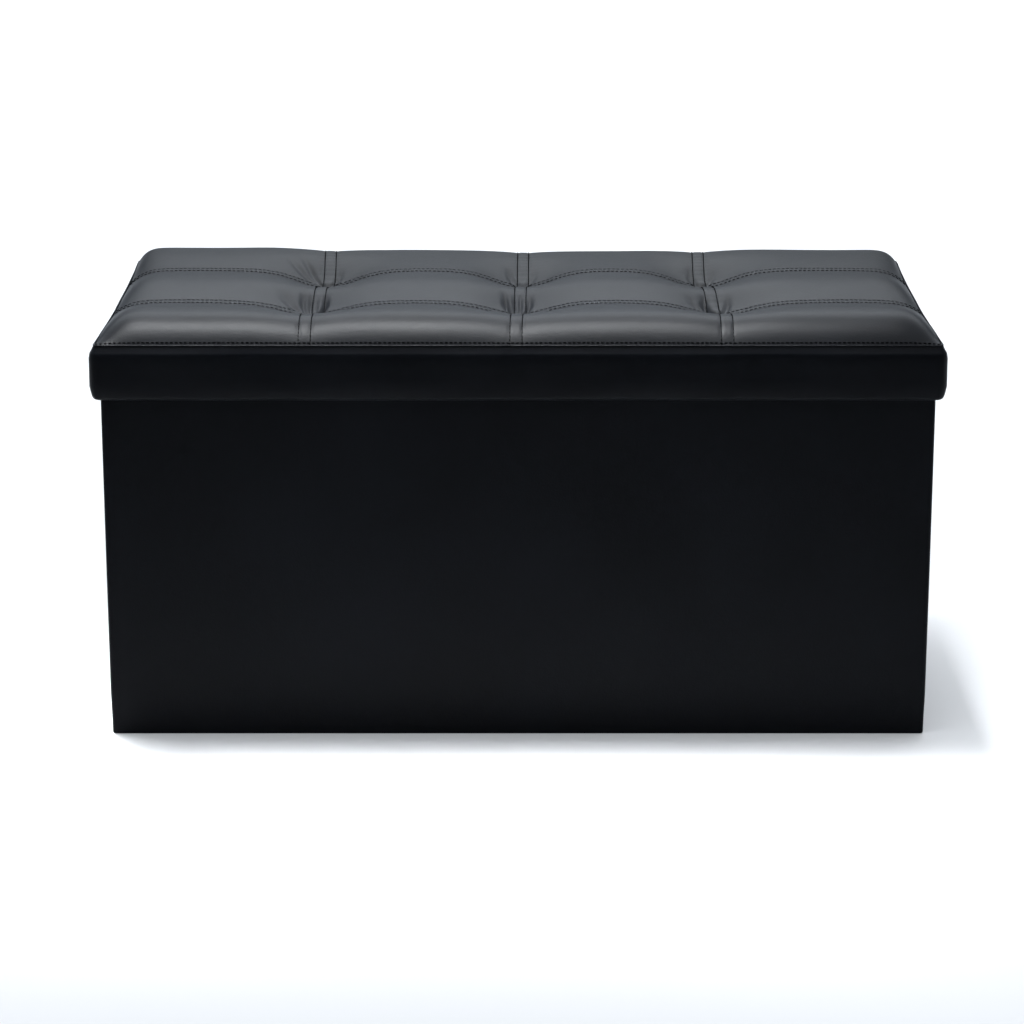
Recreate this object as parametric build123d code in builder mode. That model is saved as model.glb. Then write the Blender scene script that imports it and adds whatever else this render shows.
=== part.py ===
"""Storage ottoman bench: a lift-off quilted lid with a deep skirt over an open box.

The box is the collapsible kind. Its boards are wrapped in PU leather, each end wall is two
half-boards with a crease between them, and the base board is hinged along the back wall.

Millimetres, +Z up, +X along the bench, front towards -Y. The origin is on the floor, under
the middle of the bench.
"""

import os

from build123d import *

# ---- overall sizes -------------------------------------------------------------------
lid_length = 760.0
lid_depth = 380.0
rim_height = 349.0  # floor to the top of the box's leather rim
skirt_height = 50.0  # edge seam of the lid down to the hem
edge_rise = 6.9  # lid board's top up to the edge seam
crown_rise = 25.0  # edge seam up to the top of the padding
valley_rise = 14.0  # edge seam up to the floor of a quilting valley
tuft_rise = 2.0  # edge seam up to the bottom of a tuft

# ---- sheets and boards ---------------------------------------------------------------
leather = 1.2
lining = 0.8
wall_board = 9.0
lid_board_thickness = 9.0
skirt_board = 3.0
skirt_padding = 2.0
base_board_thickness = 4.0
tape = 0.6
ribbon = 0.8

# ---- clearances ----------------------------------------------------------------------
lid_side_clearance = 1.0  # skirt lining to the box's leather
lid_rest_gap = 0.3  # rim to the lid's underside lining
base_rest_gap = 0.3  # floor sheet to the base board's lining
base_side_gap = 2.5
base_front_gap = 2.2
base_back_gap = 1.8  # room for the tape and the ribbon when the board stands up
corner_fold_gap = 1.5  # end half-board to the front or back board
crease_gap = 3.0  # between the two half-boards of an end wall

# ---- lid details ---------------------------------------------------------------------
lid_corner_radius = 8.0
box_corner_radius = 3.0
shoulder_radius = 22.0
valley_radius = 30.0
tuft_radius = 24.0
quilt_rows = 3
column_drift = (4.5, 2.5, -9.5)  # how far each column seam is sewn off its even place
welt_height = 2.4
hem_return = 15.0  # leather turned up inside the skirt
rim_return = 25.0  # leather turned down inside the box

# ---- fastenings ----------------------------------------------------------------------
cord_radius = 1.0
knot_radius = 2.5
knot_height = 1.0
knot_seat = 0.3  # knot's underside above the lowest point of its tuft
brad_radius = 0.6
brad_length = 18.0
brad_head_radius = 1.2
brad_head_height = 0.5
brads_per_long_side = 6
brads_per_short_side = 3
staple_width = 10.0
staple_wire = 0.7
staple_wire_width = 1.2
tuft_staple_leg = 6.0
hem_staple_leg = 2.4  # beyond the hem, into the skirt board
hem_staples_per_long_side = 10
hem_staples_per_short_side = 4

# ---- base board's hinge and ribbon ---------------------------------------------------
hinge_tape_leg = 30.0
ribbon_width = 25.0
ribbon_length = 50.0

# ---- sizes that follow ---------------------------------------------------------------
skirt_stack = leather + skirt_padding + skirt_board  # outer face to the boards' inner face
box_inset = skirt_stack + lining + lid_side_clearance
box_length = lid_length - 2 * box_inset
box_depth = lid_depth - 2 * box_inset
board_face = leather + wall_board  # box's outer face to a wall board's inner face
lining_face = board_face + lining
rim_face = board_face + leather
wall_board_height = rim_height - 2 * leather

lining_bottom = rim_height + lid_rest_gap
lid_board_bottom = lining_bottom + lining
lid_board_top = lid_board_bottom + lid_board_thickness
seam_height = lid_board_top + edge_rise
crown_height = seam_height + crown_rise
valley_height = seam_height + valley_rise
tuft_height = seam_height + tuft_rise
hem_height = seam_height - skirt_height
welt_bottom = seam_height - welt_height / 2
welt_top = seam_height + welt_height / 2
skirt_board_height = lid_board_top - hem_height - leather

base_length = box_length - 2 * (lining_face + base_side_gap)
base_depth = box_depth - 2 * lining_face - base_front_gap - base_back_gap
base_back = box_depth / 2 - lining_face - base_back_gap
base_front = base_back - base_depth
base_bottom = lining + base_rest_gap
base_top = base_bottom + 2 * lining + base_board_thickness

half_board_depth = (box_depth - 2 * board_face - 2 * corner_fold_gap - crease_gap) / 2
half_board_middle = (half_board_depth + crease_gap) / 2
mitre_reach = 4 * wall_board  # how far in from an edge a mitred wrap can reach

quilt_columns = len(column_drift) + 1
column_seams = [
    lid_length * ((i + 1) / quilt_columns - 1 / 2) + drift for i, drift in enumerate(column_drift)
]
row_seams = [lid_depth * (i / quilt_rows - 1 / 2) for i in range(1, quilt_rows)]
crossings = [(x, y) for x in column_seams for y in row_seams]

long_sides = {"front": -1, "back": 1}
short_sides = {"left": -1, "right": 1}
sides = [*long_sides, *short_sides]

os.makedirs("parts", exist_ok=True)


def finish(piece, name):
    """Label a finished piece and write it."""
    piece.part.label = name
    export_step(piece.part, f"parts/{name}.step")


def rounded(length, depth, radius, mode):
    """Rectangle whose corners turn sharp once their radius has run out."""
    if radius > 0:
        RectangleRounded(length, depth, radius, mode=mode)
    else:
        Rectangle(length, depth, mode=mode)


def lid_outline(inset, mode=Mode.ADD):
    """Lid's plan, drawn inset from the skirt's outer face."""
    rounded(lid_length - 2 * inset, lid_depth - 2 * inset, lid_corner_radius - inset, mode)


def box_outline(inset, mode=Mode.ADD):
    """Box's plan, drawn inset from the leather's outer face."""
    rounded(box_length - 2 * inset, box_depth - 2 * inset, box_corner_radius - inset, mode)


def mitred_side(side, length, depth):
    """Plan of the strip along one side, cut at 45 degrees to meet its neighbours."""
    along_x = side in long_sides
    half = (length if along_x else depth) / 2
    edge = -(depth if along_x else length) / 2
    turn = {"front": 0, "right": 90, "back": 180, "left": 270}[side]
    with Locations(Rotation(0, 0, turn)):
        Polygon(
            (-half, edge),
            (half, edge),
            (half - mitre_reach, edge + mitre_reach),
            (-half + mitre_reach, edge + mitre_reach),
            align=None,
        )


def spread(count, length):
    """Places of evenly spaced fastenings along a side, with half a space at each end."""
    return [length * ((i + 1 / 2) / count - 1 / 2) for i in range(count)]


def add_layer(outline, outer, inner, bottom, top):
    """Closed band of a skin between two insets, from one height to another."""
    with BuildSketch(Plane.XY.offset(bottom)) as band:
        outline(outer)
        outline(inner, mode=Mode.SUBTRACT)
    extrude(band.sketch, amount=top - bottom)


def keep_side(side, length, depth):
    """Cut a closed band down to the mitred strip along one side."""
    with BuildSketch() as strip:
        mitred_side(side, length, depth)
    extrude(strip.sketch, amount=crown_height, mode=Mode.INTERSECT)


def add_staple(plane, leg):
    """Staple whose crown is flush with the plane and whose legs follow the plane's normal."""
    with BuildSketch(plane) as crown:
        Rectangle(staple_width, staple_wire_width)
    extrude(crown.sketch, amount=staple_wire)
    leg_middle = (staple_width - staple_wire_width) / 2
    with BuildSketch(plane) as legs:
        with Locations((-leg_middle, 0), (leg_middle, 0)):
            Rectangle(staple_wire_width, staple_wire_width)
    extrude(legs.sketch, amount=leg)


def add_brad(plane):
    """Brad whose head is flush with the plane and whose shank follows the plane's normal."""
    with BuildSketch(plane) as head:
        Circle(brad_head_radius)
    extrude(head.sketch, amount=brad_head_height)
    with BuildSketch(plane) as shank:
        Circle(brad_radius)
    extrude(shank.sketch, amount=brad_length)


def inward_planes(inset, height, long_count, short_count):
    """Planes on the four faces at an inset, evenly spaced, with their normals inward."""
    half_length = lid_length / 2 - inset
    half_depth = lid_depth / 2 - inset
    planes = []
    for sign in long_sides.values():
        for x in spread(long_count, lid_length - 2 * inset):
            planes.append(Plane((x, sign * half_depth, height), (1, 0, 0), (0, -sign, 0)))
    for sign in short_sides.values():
        for y in spread(short_count, lid_depth - 2 * inset):
            planes.append(Plane((sign * half_length, y, height), (0, 1, 0), (-sign, 0, 0)))
    return planes


def flipped(plane):
    """The same plane with its normal turned round."""
    return Plane(plane.origin, plane.x_dir, -plane.z_dir)


# ---- fastenings, made first because other pieces are cut to them ----------------------

with BuildPart() as tuft_staples:
    for x, y in crossings:
        add_staple(Plane.XY.offset(lid_board_bottom).move(Location((x, y, 0))), tuft_staple_leg)
finish(tuft_staples, "tuft_staples")

with BuildPart() as tuft_cords:
    knot_bottom = tuft_height + knot_seat
    cord_bottom = lid_board_bottom + staple_wire
    with BuildSketch(Plane.XY.offset(cord_bottom)):
        with Locations(*crossings):
            Circle(cord_radius)
    extrude(amount=knot_bottom - cord_bottom)
    with BuildSketch(Plane.XY.offset(knot_bottom)):
        with Locations(*crossings):
            Circle(knot_radius)
    extrude(amount=knot_height)
finish(tuft_cords, "tuft_cords")

with BuildPart() as skirt_brads:
    brad_height = lid_board_bottom + lid_board_thickness / 2
    brad_inset = leather + skirt_padding
    for face in inward_planes(brad_inset, brad_height, brads_per_long_side, brads_per_short_side):
        add_brad(face)
finish(skirt_brads, "skirt_brads")

with BuildPart() as hem_staples:
    staple_height = hem_height + leather + hem_return * 2 / 3
    staple_inset = skirt_stack + leather
    for face in inward_planes(
        staple_inset, staple_height, hem_staples_per_long_side, hem_staples_per_short_side
    ):
        add_staple(flipped(face), leather + hem_staple_leg)
finish(hem_staples, "hem_staples")

# ---- lid: padded top -----------------------------------------------------------------


def quilted_form(inset):
    """Padding's outer form, drawn inset: rounded shoulders, sewn valleys and tufts."""
    half_depth = lid_depth / 2 - inset
    half_length = lid_length / 2 - inset
    shoulder = min(shoulder_radius, crown_rise - welt_height / 2) - inset
    top = crown_height - inset
    with BuildPart() as form:
        with BuildSketch(Plane.XY.offset(lid_board_top)) as plan:
            lid_outline(inset)
        extrude(plan.sketch, amount=top - lid_board_top)
        for plane, half in ((Plane.XZ, half_length), (Plane.YZ, half_depth)):
            with BuildSketch(plane) as section:
                with Locations((0, top / 2)):
                    Rectangle(2 * half, top)
                fillet(section.vertices().group_by(Axis.Z)[-1], shoulder)
            extrude(section.sketch, amount=lid_length, both=True, mode=Mode.INTERSECT)
        valley_axis = valley_height + valley_radius
        valley_cut = valley_radius + inset
        with Locations(*[(0, y, valley_axis) for y in row_seams]):
            Cylinder(valley_cut, lid_length, rotation=(0, 90, 0), mode=Mode.SUBTRACT)
        with Locations(*[(x, 0, valley_axis) for x in column_seams]):
            Cylinder(valley_cut, lid_depth, rotation=(90, 0, 0), mode=Mode.SUBTRACT)
        with Locations(*[(x, y, tuft_height + tuft_radius) for x, y in crossings]):
            Sphere(tuft_radius + inset, mode=Mode.SUBTRACT)
    return form


padding = quilted_form(leather)

with BuildPart() as lid_foam_pad:
    add(padding.part)
    add(tuft_cords.part, mode=Mode.SUBTRACT)
finish(lid_foam_pad, "lid_foam_pad")

with BuildPart() as lid_top_cover:
    add(quilted_form(0).part)
    add(padding.part, mode=Mode.SUBTRACT)
    split(bisect_by=Plane.XY.offset(welt_top), keep=Keep.TOP)
    add(tuft_cords.part, mode=Mode.SUBTRACT)
finish(lid_top_cover, "lid_top_cover")

with BuildPart() as lid_edge_welt:
    add_layer(lid_outline, 0, leather, welt_bottom, welt_top)
finish(lid_edge_welt, "lid_edge_welt")

# ---- lid: board and skirt ------------------------------------------------------------

with BuildPart() as lid_board:
    with BuildSketch(Plane.XY.offset(lid_board_bottom)):
        lid_outline(skirt_stack)
    extrude(amount=lid_board_thickness)
    for fastening in (tuft_staples, tuft_cords, skirt_brads):
        add(fastening.part, mode=Mode.SUBTRACT)
finish(lid_board, "lid_board")

skirt_board_length = lid_length - 2 * skirt_stack
skirt_board_depth = lid_depth - 2 * skirt_stack

for side, sign in long_sides.items():
    with BuildPart() as board:
        with BuildSketch(Plane.XY.offset(hem_height + leather)):
            lid_outline(leather + skirt_padding)
            with Locations((0, sign * (skirt_board_depth + skirt_board) / 2)):
                Rectangle(lid_length, skirt_board, mode=Mode.INTERSECT)
        extrude(amount=skirt_board_height)
        for fastening in (skirt_brads, hem_staples):
            add(fastening.part, mode=Mode.SUBTRACT)
    finish(board, f"lid_skirt_board_{side}")

for side, sign in short_sides.items():
    with BuildPart() as board:
        with BuildSketch(Plane.XY.offset(hem_height + leather)):
            lid_outline(leather + skirt_padding)
            with Locations((sign * (skirt_board_length + skirt_board) / 2, 0)):
                Rectangle(skirt_board, skirt_board_depth, mode=Mode.INTERSECT)
        extrude(amount=skirt_board_height)
        for fastening in (skirt_brads, hem_staples):
            add(fastening.part, mode=Mode.SUBTRACT)
    finish(board, f"lid_skirt_board_{side}")

with BuildPart() as lid_skirt_foam:
    add_layer(lid_outline, leather, leather + skirt_padding, hem_height + leather, lid_board_top)
finish(lid_skirt_foam, "lid_skirt_foam")

hem_face = skirt_stack + leather
hem_top = hem_height + leather + hem_return

for side in sides:
    with BuildPart() as cover:
        add_layer(lid_outline, 0, leather, hem_height, welt_bottom)
        add_layer(lid_outline, 0, hem_face, hem_height, hem_height + leather)
        add_layer(lid_outline, skirt_stack, hem_face, hem_height + leather, hem_top)
        keep_side(side, lid_length, lid_depth)
        add(hem_staples.part, mode=Mode.SUBTRACT)
    finish(cover, f"lid_skirt_cover_{side}")

with BuildPart() as lid_underside_lining:
    add_layer(lid_outline, skirt_stack, skirt_stack + lining, hem_top, lid_board_bottom)
    with BuildSketch(Plane.XY.offset(lining_bottom)):
        lid_outline(skirt_stack)
    extrude(amount=lining)
finish(lid_underside_lining, "lid_underside_lining")

# ---- box: boards ---------------------------------------------------------------------

for side, sign in long_sides.items():
    with BuildPart() as board:
        with BuildSketch(Plane.XY.offset(leather)):
            box_outline(leather)
            with Locations((0, sign * (box_depth / 2 - leather - wall_board / 2))):
                Rectangle(box_length, wall_board, mode=Mode.INTERSECT)
        extrude(amount=wall_board_height)
    finish(board, f"{side}_wall_board")

for side, sign in short_sides.items():
    for half, towards in (("front", -1), ("rear", 1)):
        middle = (sign * (box_length / 2 - leather - wall_board / 2), towards * half_board_middle)
        with BuildPart() as board:
            with BuildSketch(Plane.XY.offset(leather)):
                with Locations(middle):
                    Rectangle(wall_board, half_board_depth)
            extrude(amount=wall_board_height)
        finish(board, f"{side}_wall_board_{half}")

# ---- box: leather covers and linings -------------------------------------------------

return_bottom = rim_height - rim_return

for side in sides:
    with BuildPart() as cover:
        add_layer(box_outline, 0, leather, 0, rim_height)
        add_layer(box_outline, 0, lining_face, 0, leather)
        add_layer(box_outline, 0, rim_face, rim_height - leather, rim_height)
        add_layer(box_outline, board_face, rim_face, return_bottom, rim_height)
        keep_side(side, box_length, box_depth)
    finish(cover, f"{side}_wall_cover")

for side in sides:
    with BuildPart() as cloth:
        add_layer(box_outline, board_face, lining_face, leather, return_bottom)
        keep_side(side, box_length, box_depth)
    finish(cloth, f"{side}_wall_lining")

with BuildPart() as floor_sheet:
    with BuildSketch():
        box_outline(lining_face)
    extrude(amount=lining)
finish(floor_sheet, "floor_sheet")

# ---- base board and its cloth hinge --------------------------------------------------

base_middle = (base_back + base_front) / 2

with BuildPart() as base_board:
    with BuildSketch(Plane.XY.offset(base_bottom + lining)):
        with Locations((0, base_middle)):
            Rectangle(base_length - 2 * lining, base_depth - 2 * lining)
    extrude(amount=base_board_thickness)
finish(base_board, "base_board")

with BuildPart() as base_lining_bottom:
    with BuildSketch(Plane.XY.offset(base_bottom)):
        with Locations((0, base_middle)):
            Rectangle(base_length, base_depth)
    extrude(amount=lining)
finish(base_lining_bottom, "base_lining_bottom")

with BuildPart() as base_lining_top:
    with BuildSketch(Plane.XY.offset(base_bottom + lining)):
        with Locations((0, base_middle)):
            Rectangle(base_length, base_depth)
    extrude(amount=base_board_thickness + lining)
    add(base_board.part, mode=Mode.SUBTRACT)
finish(base_lining_top, "base_lining_top")

with BuildPart() as base_hinge_board_leg:
    with BuildSketch(Plane.XY.offset(base_top)):
        with Locations((0, base_back - hinge_tape_leg / 2)):
            Rectangle(base_length, hinge_tape_leg)
    extrude(amount=tape)
finish(base_hinge_board_leg, "base_hinge_board_leg")

with BuildPart() as base_hinge_wall_leg:
    with BuildSketch(Plane.XY.offset(base_top)):
        with Locations((0, box_depth / 2 - lining_face - tape / 2)):
            Rectangle(base_length, tape)
    extrude(amount=hinge_tape_leg)
finish(base_hinge_wall_leg, "base_hinge_wall_leg")

with BuildPart() as base_pull_ribbon:
    with BuildSketch(Plane.XY.offset(base_top)):
        with Locations((0, base_front + ribbon_length / 2)):
            Rectangle(ribbon_width, ribbon_length)
    extrude(amount=ribbon)
finish(base_pull_ribbon, "base_pull_ribbon")
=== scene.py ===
"""Storage ottoman bench: its leather, padding, linings, stitching and studio.

Run as a script. Sizes are in millimetres and are turned into metres by put_mesh.
"""

import math

import bmesh
import bpy
import numpy as np
from bpy.props import FloatProperty, FloatVectorProperty, PointerProperty
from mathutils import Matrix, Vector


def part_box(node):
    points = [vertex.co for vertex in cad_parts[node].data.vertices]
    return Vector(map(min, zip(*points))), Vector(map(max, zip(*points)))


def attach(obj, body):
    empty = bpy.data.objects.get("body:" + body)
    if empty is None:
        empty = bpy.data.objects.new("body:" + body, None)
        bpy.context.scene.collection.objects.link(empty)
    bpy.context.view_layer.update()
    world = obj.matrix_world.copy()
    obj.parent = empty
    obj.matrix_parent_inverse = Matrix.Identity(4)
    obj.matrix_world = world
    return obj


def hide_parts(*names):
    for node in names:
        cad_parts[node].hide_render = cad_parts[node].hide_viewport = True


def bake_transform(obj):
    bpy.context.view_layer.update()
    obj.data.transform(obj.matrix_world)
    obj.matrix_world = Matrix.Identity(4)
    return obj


bl_info = {
    "name": "Storage ottoman bench",
    "version": (1, 0, 0),
    "blender": (4, 5, 0),
    "location": "3D View > Sidebar > Bench",
    "description": "Builds the looks of a quilted storage bench around its fixed frame",
    "category": "Add Mesh",
}

MM = 0.001
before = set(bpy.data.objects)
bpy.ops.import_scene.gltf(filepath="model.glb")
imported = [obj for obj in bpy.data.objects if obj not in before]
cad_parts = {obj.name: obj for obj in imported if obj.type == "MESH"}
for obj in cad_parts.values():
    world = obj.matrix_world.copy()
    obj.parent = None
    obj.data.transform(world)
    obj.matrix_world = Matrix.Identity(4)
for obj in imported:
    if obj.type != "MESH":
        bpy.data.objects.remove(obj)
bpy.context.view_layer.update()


def node_box(node):
    """Lowest and highest corners of a fixed node, in millimetres."""
    low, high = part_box(node)
    return np.array(low) / MM, np.array(high) / MM


def crossing_places():
    """Tufts' places, read from the cords' own solids: those along x, then those along y."""
    points = np.array([v.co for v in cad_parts["tuft_cords"].data.vertices]) / MM
    places = []
    for axis in (0, 1):
        values = np.sort(points[:, axis])
        groups = np.split(values, np.nonzero(np.diff(values) > 60)[0] + 1)
        places.append(np.array([(group[0] + group[-1]) / 2 for group in groups]))
    return places


# ---- places taken from the frame --------------------------------------------------------
LID_HALF = node_box("lid_edge_welt")[1][:2]
WELT_LOW, WELT_HIGH = node_box("lid_edge_welt")
SEAM_Z = (WELT_LOW[2] + WELT_HIGH[2]) / 2
HEM_Z = node_box("lid_skirt_cover_front")[0][2]
BOARD_TOP = node_box("lid_board")[1][2]
LINING_LOW, LINING_HIGH = node_box("lid_underside_lining")
BOX_HALF = np.array([node_box("right_wall_cover")[1][0], node_box("back_wall_cover")[1][1]])
RIM_Z = node_box("front_wall_cover")[1][2]
WALL_CLOTH_LOW, WALL_CLOTH_HIGH = node_box("right_wall_lining")
FLOOR_LOW, FLOOR_HIGH = node_box("floor_sheet")
BASE_LOW, BASE_HIGH = node_box("base_lining_top")
BASE_UNDER_LOW, BASE_UNDER_HIGH = node_box("base_lining_bottom")
TAPE_LOW, TAPE_HIGH = node_box("base_hinge_board_leg")
WALL_TAPE_LOW, WALL_TAPE_HIGH = node_box("base_hinge_wall_leg")
RIBBON_LOW, RIBBON_HIGH = node_box("base_pull_ribbon")
CORD_FOOT = node_box("tuft_cords")[0][2]
COLUMNS, ROWS = crossing_places()
LID_RADIUS = 8
BOX_RADIUS = 3
WALL_STACK = 10.2  # leather and board of a wall
SKIRT_STACK = 6.2  # leather, padding and board of the skirt


class BenchSizes(bpy.types.PropertyGroup):
    """Sizes that a user would change, in millimetres"""

    leather: FloatProperty(name="Leather", description="Thickness of the leather", default=1.2)
    lining: FloatProperty(name="Lining", description="Thickness of the lining cloth", default=0.8)
    shoulder: FloatProperty(name="Shoulder", description="Width of the padding's shoulder", default=45)
    seam_inset: FloatProperty(
        name="Seam inset", description="Edge seam inside the skirt's widest line", default=2.6
    )
    side_bow: FloatProperty(
        name="Side bow", description="How far the edge seam pulls in half way along an end", default=3.2
    )
    band: FloatProperty(name="Seam band", description="Stitch line to the seam's middle", default=5.4)
    groove: FloatProperty(name="Stitch groove", description="Depth pressed in by stitches", default=0.45)
    tuft_length: FloatProperty(name="Tuft length", description="Reach of a tuft along x", default=66)
    tuft_depth: FloatProperty(name="Tuft depth", description="Reach of a tuft along y", default=90)
    pitch: FloatProperty(name="Stitch pitch", description="One stitch to the next", default=4.2)
    stitch: FloatProperty(name="Stitch length", description="Thread seen in one stitch", default=3.2)
    thread: FloatProperty(name="Thread", description="Thickness of the thread", default=1.0)


class BenchColours(bpy.types.PropertyGroup):
    """Colours that a user would change"""

    leather: FloatVectorProperty(
        name="Leather",
        description="Dark faux leather",
        subtype="COLOR",
        default=(0.0026, 0.0031, 0.0043),
    )
    thread: FloatVectorProperty(
        name="Thread", description="Sewing thread", subtype="COLOR", default=(0.0012, 0.0012, 0.0015)
    )
    lining: FloatVectorProperty(
        name="Lining", description="Non-woven cloth", subtype="COLOR", default=(0.02, 0.02, 0.022)
    )
    webbing: FloatVectorProperty(
        name="Webbing",
        description="Ribbon and hinge tape",
        subtype="COLOR",
        default=(0.012, 0.012, 0.014),
    )
    foam: FloatVectorProperty(
        name="Foam", description="Upholstery foam", subtype="COLOR", default=(0.72, 0.68, 0.5)
    )
    fibreboard: FloatVectorProperty(
        name="Fibreboard", description="Pressed wood fibre", subtype="COLOR", default=(0.42, 0.27, 0.15)
    )
    hardboard: FloatVectorProperty(
        name="Hardboard", description="Thin hard board", subtype="COLOR", default=(0.17, 0.085, 0.04)
    )
    steel: FloatVectorProperty(
        name="Steel wire", description="Staples and brads", subtype="COLOR", default=(0.52, 0.52, 0.5)
    )
    floor: FloatVectorProperty(
        name="Floor", description="Plain pale floor", subtype="COLOR", default=(0.84, 0.84, 0.85)
    )


def sizes():
    return bpy.context.scene.bench_sizes


def colours():
    return bpy.context.scene.bench_colours


# ---- meshes -----------------------------------------------------------------------------


def put_mesh(name, points, faces, uv=None):
    """New closed, smooth mesh object from points in millimetres."""
    mesh = bpy.data.meshes.new(name)
    mesh.from_pydata((np.asarray(points, float) * MM).tolist(), [], [list(map(int, f)) for f in faces])
    if uv is not None:
        layer = mesh.uv_layers.new(name="cloth")
        corner = np.zeros(len(mesh.loops), np.int32)
        mesh.loops.foreach_get("vertex_index", corner)
        layer.data.foreach_set("uv", (np.asarray(uv, float)[corner] * MM).ravel())
    work = bmesh.new()
    work.from_mesh(mesh)
    bmesh.ops.remove_doubles(work, verts=work.verts, dist=2e-6)
    bmesh.ops.recalc_face_normals(work, faces=work.faces)
    for face in work.faces:
        face.smooth = True
    work.to_mesh(mesh)
    work.free()
    piece = bpy.data.objects.new(name, mesh)
    bpy.context.scene.collection.objects.link(piece)
    return piece


def settle(piece, body, material, slot, *nodes):
    """Give a finished piece its material and the body that it rides on; its slot is not used."""
    if material is not None:
        piece.data.materials.append(material)
    if body is not None:
        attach(piece, body)
    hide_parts(*nodes)
    return piece


def grid_faces(rows, columns, first=0, around=False, along=False):
    """Quads of a grid of points, closed across its columns, along its rows, or both."""
    row = np.arange(rows if along else rows - 1)
    column = np.arange(columns if around else columns - 1)
    r, c = (a.ravel() for a in np.meshgrid(row, column, indexing="ij"))
    r2, c2 = (r + 1) % rows, (c + 1) % columns
    quads = [r * columns + c, r2 * columns + c, r2 * columns + c2, r * columns + c2]
    return np.stack(quads, 1) + first


def slab(name, upper, lower, uv=None):
    """Closed solid between two grids of points of the same shape."""
    rows, columns = upper.shape[:2]
    count = rows * columns
    index = np.arange(count).reshape(rows, columns)
    loop = np.concatenate([index[0, :-1], index[:-1, -1], index[-1, :0:-1], index[:0:-1, 0]])
    after = np.roll(loop, -1)
    rim = np.stack([loop, after, after + count, loop + count], 1)
    faces = [*grid_faces(rows, columns), *grid_faces(rows, columns, count)[:, ::-1], *rim]
    points = np.concatenate([upper.reshape(-1, 3), lower.reshape(-1, 3)])
    both = None if uv is None else np.concatenate([uv.reshape(-1, 2)] * 2)
    return put_mesh(name, points, faces, both)


def stations_round(half, spacing, corner_steps, creased):
    """Stations round a rounded rectangle: corner shares of x and y, and the outward angle."""
    shares, angles = [], []
    corners = [(1, -1), (1, 1), (-1, 1), (-1, -1)]
    crease = np.array([0, 1, 2, 3.2, 5, 7.5])
    for i, here in enumerate(corners):
        start = (i - 1) * math.pi / 2
        for turn in np.linspace(0, math.pi / 2, corner_steps):
            shares.append(here)
            angles.append(start + turn)
        there = corners[(i + 1) % 4]
        length = 2 * (half[1] if i % 2 == 0 else half[0])
        places = np.linspace(-1, 1, max(3, round(length / spacing)))[1:-1]
        if creased and i % 2 == 0:
            near = crease * 2 / length
            places = places[np.abs(places) > near[-1] * 1.3]
            places = np.sort(np.concatenate([places, near, -near[1:]]))
        for place in places:
            t = (place + 1) / 2
            shares.append((here[0] + (there[0] - here[0]) * t, here[1] + (there[1] - here[1]) * t))
            angles.append(start + math.pi / 2)
    return np.array(shares, float), np.array(angles)


def ring(name, half, radius, section, spacing=9, corner_steps=7, creased=False, shape=None):
    """Closed ring: a closed section of (inset, height) swept round a rounded rectangle."""
    section = np.asarray(section, float)
    shares, angles = stations_round(half, spacing, corner_steps, creased)
    outward = np.stack([np.cos(angles), np.sin(angles)], 1)
    grid = np.zeros((len(angles), len(section), 3))
    for k, (inset, height) in enumerate(section):
        r = max(radius - inset, 0)
        corner = np.array([half[0] - inset - r, half[1] - inset - r])
        grid[:, k, :2] = shares * corner + r * outward
        grid[:, k, 2] = height
    if shape is not None:
        grid = shape(grid, outward)
    closed = np.concatenate([grid[:, 0], grid[:1, 0]])
    along = np.concatenate([[0], np.cumsum(np.linalg.norm(np.diff(closed, axis=0), axis=1))[:-1]])
    rise = np.concatenate([[0], np.cumsum(np.linalg.norm(np.diff(section, axis=0), axis=1))])
    uv = np.stack(np.meshgrid(along, rise, indexing="ij"), -1)
    faces = grid_faces(*grid.shape[:2], around=True, along=True)
    return put_mesh(name, grid.reshape(-1, 3), faces, uv.reshape(-1, 2))


def thick_line(middle, thickness):
    """Closed section round an open line of (inset, height) points, rounded at its ends."""
    middle = np.asarray(middle, float)
    run = np.gradient(middle, axis=0)
    run /= np.linalg.norm(run, axis=1)[:, None]
    across = np.stack([-run[:, 1], run[:, 0]], 1) * thickness / 2
    start = middle[0] - run[0] * thickness * 0.35
    end = middle[-1] + run[-1] * thickness * 0.35
    return np.concatenate([middle + across, [end], (middle - across)[::-1], [start]])


def arc(centre, radius, start, end, steps=6):
    """Points of an arc in a section, angles in degrees from the inward direction."""
    angles = np.radians(np.linspace(start, end, steps))
    return np.stack([centre[0] + radius * np.cos(angles), centre[1] + radius * np.sin(angles)], 1)


def straight(start, end, spacing):
    """Points of a run in a section, both ends among them."""
    start, end = np.asarray(start, float), np.asarray(end, float)
    steps = max(2, round(np.linalg.norm(end - start) / spacing) + 1)
    return start + (end - start) * np.linspace(0, 1, steps)[:, None]


def ease(value, start, end):
    """Smooth step from 0 at start to 1 at end."""
    t = np.clip((value - start) / (end - start), 0, 1)
    return t * t * (3 - 2 * t)


def read_grid(grid, xs, ys, x, y):
    """Values of a grid between its stations."""
    i = np.clip(np.searchsorted(xs, x) - 1, 0, len(xs) - 2)
    j = np.clip(np.searchsorted(ys, y) - 1, 0, len(ys) - 2)
    a = np.clip((x - xs[i]) / (xs[i + 1] - xs[i]), 0, 1)[..., None]
    b = np.clip((y - ys[j]) / (ys[j + 1] - ys[j]), 0, 1)[..., None]
    low = grid[i, j] * (1 - a) + grid[i + 1, j] * a
    high = grid[i, j + 1] * (1 - a) + grid[i + 1, j + 1] * a
    return low * (1 - b) + high * b


def grid_normals(grid):
    """Upward normals of a grid of points."""
    across = np.cross(np.gradient(grid, axis=0), np.gradient(grid, axis=1))
    return across / np.maximum(np.linalg.norm(across, axis=-1, keepdims=True), 1e-9)


# ---- quilted form -----------------------------------------------------------------------

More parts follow.
